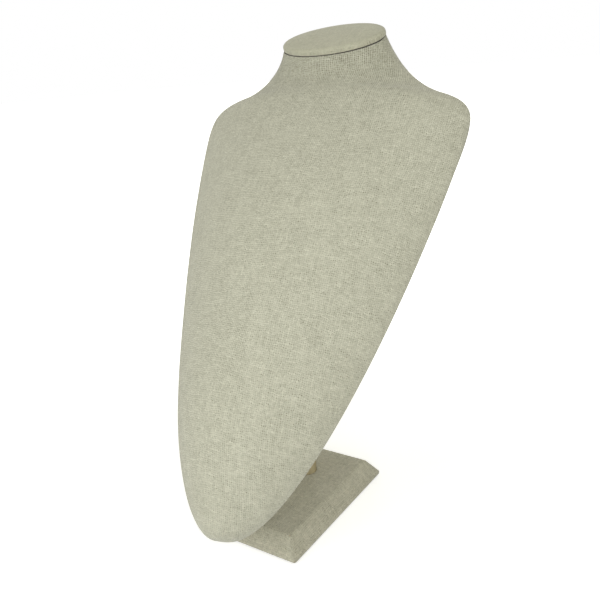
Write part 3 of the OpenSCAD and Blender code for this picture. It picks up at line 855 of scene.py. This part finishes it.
# How far the cloth stands out on the long sides, at a distance of drop along it from the top's edge
def wrinkle(y, nx, drop):
    onLongSide = abs(nx) > 0.99
    if not onLongSide:
        return 0.0
    share = limit(drop / (base["height"] * wrinkles["reach"]))
    along = base["depth"] / 2 - abs(y)
    shift = wrinkles["backShift"] if y > 0 else 0
    lift = 0.0
    for place, slant, height, width in wrinkles["marks"]:
        s = (along - place - shift - slant * drop) / width
        lift += height * math.exp(-s * s) * math.sin(math.pi * share)
    return lift


def makeBaseLinen():
    halfX, halfY = base["width"] / 2, base["depth"] / 2
    outer = divided(baseProfile(0.0), base["outerRows"])
    inner = divided(baseProfile(linen), base["innerRows"])
    topInset = outer[0][0]
    outerRound = base["cornerRound"]
    innerRound = max(outerRound - linen, base["leastCorner"])
    rows, cloth = [], []

    def addRing(inset, z, drop, r, wrinkled=False):
        row, at = [], []
        reach = drop - (topInset - inset)
        for x, y, nx, ny in baseLoop(halfX - inset, halfY - inset, r):
            lift = wrinkle(y, nx, drop) if wrinkled else 0
            row.append((x + nx * lift * wrinkles["outward"], y, z + lift * wrinkles["upward"]))
            at.append((x + nx * reach, y + ny * reach))
        rows.append(row)
        cloth.append(at)

    # Rings between the post's hole at share 0 and the loop at share 1
    def addFill(inset, z, r, shares):
        for t in shares:
            at = []
            for x, y, nx, ny in baseLoop(halfX - inset, halfY - inset, r):
                a = math.atan2(y - base["postBack"], x)
                holeX, holeY = base["hole"] * math.cos(a), base["postBack"] + base["hole"] * math.sin(a)
                at.append((mix(holeX, x, t), mix(holeY, y, t)))
            rows.append([(x, y, z) for x, y in at])
            cloth.append(at)

    addFill(*outer[0], outerRound, base["topFill"])
    drop = 0.0
    for k, (inset, z) in enumerate(outer):
        if k:
            drop += math.dist(outer[k - 1], outer[k])
        addRing(inset, z, drop, outerRound, wrinkled=True)
    for z in (base["pad"], base["pad"] + linen):
        addRing(base["turn"], z, drop + base["turn"], outerRound)
    for inset, z in reversed(inner):
        addRing(inset, z, drop, innerRound)
    addFill(*inner[0], innerRound, base["innerFill"])
    points, clothAt = joined(rows), joined(cloth)
    faces = moved(rowFaces(len(rows), len(rows[0]), wrap=True, wrapRows=True), turned=True)
    addPleats(points, faces, clothAt)
    return makePiece("baseLinen", "base_linen", points, faces, baseCloth, clothAt)


# Folded flaps on the long sides: thin plates whose free edge runs down from the top corner
def addPleats(points, faces, cloth):
    halfX, halfY = base["width"] / 2, base["depth"] / 2
    run, bevelRise = base["bevel"], base["height"] - base["pad"] - base["lip"]
    slant = math.hypot(run, bevelRise)
    normal = (bevelRise / slant, run / slant)
    across, up = pleat["columns"], pleat["rows"]
    stride = (up + 1) * (across + 1)
    patch = rowFaces(up + 1, across + 1)
    border = list(range(across + 1))
    border += [j * (across + 1) + across for j in range(1, up + 1)]
    border += [up * (across + 1) + i for i in range(across - 1, -1, -1)]
    border += [j * (across + 1) for j in range(up - 1, 0, -1)]
    rim = [(b, a, stride + a, stride + b) for a, b in zip(border, border[1:] + border[:1])]
    group = patch + moved(patch, stride, turned=True) + rim
    for sx, sy in ((1, 1), (1, -1), (-1, 1), (-1, -1)):
        start = len(points)
        for side in ("front", "back"):
            for j in range(up + 1):
                t = pleat["start"] + pleat["run"] * j / up
                hip = run * t + pleat["hipInset"]
                free = mix(pleat["width"], run + pleat["endWidth"], t ** pleat["curve"]) + pleat["freeInset"]
                for i in range(across + 1):
                    s = i / across
                    along = mix(hip, free, s)
                    rise = pleat["hipLift"] + (1 - pleat["hipLift"]) * ease(s * pleat["liftOver"])
                    lift = pleat["thickness"] * rise * (1 if s < pleat["edgeFrom"] else pleat["edgeLift"])
                    lift = lift if side == "front" else -pleat["sunk"]
                    x = halfX - run * t + normal[0] * lift
                    z = base["pad"] + base["lip"] + bevelRise * t + normal[1] * lift
                    points.append((sx * x, sy * (halfY - along), z))
                    cloth.append((along + pleat["clothShift"], slant * t))
        faces += moved(group, start, turned=sx * sy > 0)


baseLinen = makeBaseLinen()
print("base made")


# Post: a turned rod, cut on top to the lean of the panel
post = {"radius": 9.5, "foot": 9.4, "sides": 72, "rows": 24}


def makePost():
    lean, behind = bust["lean"], -(panel["boardThickness"] + linen)
    points = []
    for k in range(post["rows"] + 1):
        for i in range(post["sides"]):
            a = 360 * i / post["sides"]
            x, y = post["radius"] * cosDeg(a), base["postBack"] + post["radius"] * sinDeg(a)
            top = bust["tipHeight"] + (behind + cosDeg(lean) * (y + bust["tipForward"])) / sinDeg(lean)
            points.append((x, y, mix(post["foot"], top, k / post["rows"])))
    faces = rowFaces(post["rows"] + 1, post["sides"], wrap=True) + endFaces(post["rows"] + 1, post["sides"])
    return makePiece("supportPost", "support_post", points, faces, woodMaterial)


makePost()

# Felt under the base
felt = {"inset": 4, "edgeRound": 0.3, "cornerRound": 1.5, "flatInset": 20}


def makeFelt():
    z, r, flat = base["pad"], felt["edgeRound"], felt["flatInset"]
    halfX, halfY = base["width"] / 2 - felt["inset"], base["depth"] / 2 - felt["inset"]
    rows = []
    for inset, height in ((flat, z), (r, z), (0, z - r), (0, r), (r, 0), (flat, 0)):
        loop = baseLoop(halfX - inset, halfY - inset, felt["cornerRound"])
        rows.append([(x, y, height) for x, y, nx, ny in loop])
    count = len(rows[0])
    faces = moved(rowFaces(len(rows), count, wrap=True) + endFaces(len(rows), count), turned=True)
    return makePiece("baseFelt", "base_pad", joined(rows), faces, otherMaterials["felt"])


baseFelt = makeFelt()
print("post and felt made")

# Materials for the solids that stay as they are
solidMaterials = {
    "bust_shell": otherMaterials["moulding"], "wedge_block": woodMaterial,
    "back_board": otherMaterials["fibreboard"], "base_block": otherMaterials["fibreboard"],
    "cap_board": otherMaterials["fibreboard"],
    "post_screws": otherMaterials["zincedSteel"], "base_screw": otherMaterials["zincedSteel"],
}
for nodeName, material in solidMaterials.items():
    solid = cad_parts[nodeName]
    solid.data.materials.clear()
    solid.data.materials.append(material)


# Stage and lamps are in metres; the floor glows for the camera only, and more so further away
stage = {
    "floorSize": 20.0, "floorColor": (0.8, 0.8, 0.8, 1), "floorRoughness": 0.9,
    "glowColor": (1, 1, 1, 1), "glowRun": (0.15, 0.9), "glow": (0.5, 1.2),
    "worldColor": (1, 0.97, 0.8, 1), "seenColor": (1, 1, 1, 1), "worldStrength": (0.52, 1.0),
    "lampColor": (0.96, 0.975, 1.0),
}
lamps = {
    "key": {"place": (0.6, -0.8, 0.5), "target": (0, 0, 0.2), "size": 0.7, "power": 5.25},
    "fill": {"place": (-0.5, -0.85, 0.5), "target": (0, 0, 0.2), "size": 0.7, "power": 3.0},
    "low": {"place": (0, -1.0, 0.3), "target": (0, 0, 0.2), "size": 0.7, "power": 0.6},
    "back": {"place": (0.75, 0.45, 1.15), "target": (0, 0, 0.1), "size": 0.7, "power": 1.3},
    "rear": {"place": (-0.5, 0.95, 0.22), "target": (0, 0, 0.2), "size": 0.4, "power": 1.6},
}


def setFloor():
    size = stage["floorSize"]
    mesh = bpy.data.meshes.new("floor")
    mesh.from_pydata([(-size, -size, 0), (size, -size, 0), (size, size, 0), (-size, size, 0)], [],
                     [(0, 1, 2, 3)])
    material, b, shader = newMaterial("paleFloor", stage["floorRoughness"])
    shader.inputs["Base Color"].default_value = stage["floorColor"]
    shader.inputs["Emission Color"].default_value = stage["glowColor"]
    away = b.remap(b.vector("LENGTH", b.place(), output="Value"), stage["glowRun"], stage["glow"])
    b.link(b.times(b.seen(), away), shader.inputs["Emission Strength"])
    mesh.materials.append(material)
    floor = addObject("floor", mesh)


def setWorld():
    world = bpy.data.worlds.new("studio")
    bpy.context.scene.world = world
    world.use_nodes = True
    background = world.node_tree.nodes["Background"]
    b = NodeBuilder(world.node_tree)
    seen = b.seen()
    b.link(b.blend(seen, stage["worldColor"], stage["seenColor"]), background.inputs["Color"])
    b.link(b.remap(seen, unit, stage["worldStrength"]), background.inputs["Strength"])


def addLamp(name, settings):
    light = bpy.data.lights.new(name, "AREA")
    light.shape = "DISK"
    light.size = settings["size"]
    light.energy = settings["power"]
    light.color = stage["lampColor"]
    lamp = addObject(name, light)
    place = Vector(settings["place"])
    lamp.location = place
    lamp.rotation_euler = (Vector(settings["target"]) - place).to_track_quat("-Z", "Y").to_euler()


view = {
    "azimuth": 37.08, "elevation": 15.90, "roll": -4.99, "focus": 716.22, "shiftX": -46.0, "shiftY": -24.0,
    "acrossBy": -12.98, "upBy": -44.12, "distance": 558.06, "aimHeight": 250, "frameSize": 600,
    "sensorWidth": 36, "clipStart": 0.01,
}


# The camera looks along forward; focus and shifts are in pixels of the frame
def setCamera():
    az, el, roll = view["azimuth"], view["elevation"], view["roll"]
    forward = Vector((-sinDeg(az) * cosDeg(el), cosDeg(az) * cosDeg(el), -sinDeg(el)))
    right = Vector((cosDeg(az), sinDeg(az), 0))
    up = right.cross(forward)
    rolledRight = right * cosDeg(roll) + up * sinDeg(roll)
    rolledUp = up * cosDeg(roll) - right * sinDeg(roll)
    place = Vector((0, 0, view["aimHeight"])) - forward * view["distance"]
    place += rolledRight * view["acrossBy"] + rolledUp * view["upBy"]
    data = bpy.data.cameras.new("camera")
    data.sensor_width = view["sensorWidth"]
    data.lens = view["sensorWidth"] * view["focus"] / view["frameSize"]
    data.shift_x = -view["shiftX"] / view["frameSize"]
    data.shift_y = view["shiftY"] / view["frameSize"]
    data.clip_start = view["clipStart"]
    camera = addObject("camera", data)
    camera.matrix_world = Matrix((rolledRight, rolledUp, -forward)).transposed().to_4x4()
    camera.location = place * millimetre
    bpy.context.scene.camera = camera


setFloor()
setWorld()
for lampName, settings in lamps.items():
    addLamp(lampName, settings)
setCamera()
bpy.context.scene.view_settings.view_transform = "Standard"
print("stage, lights and camera set")
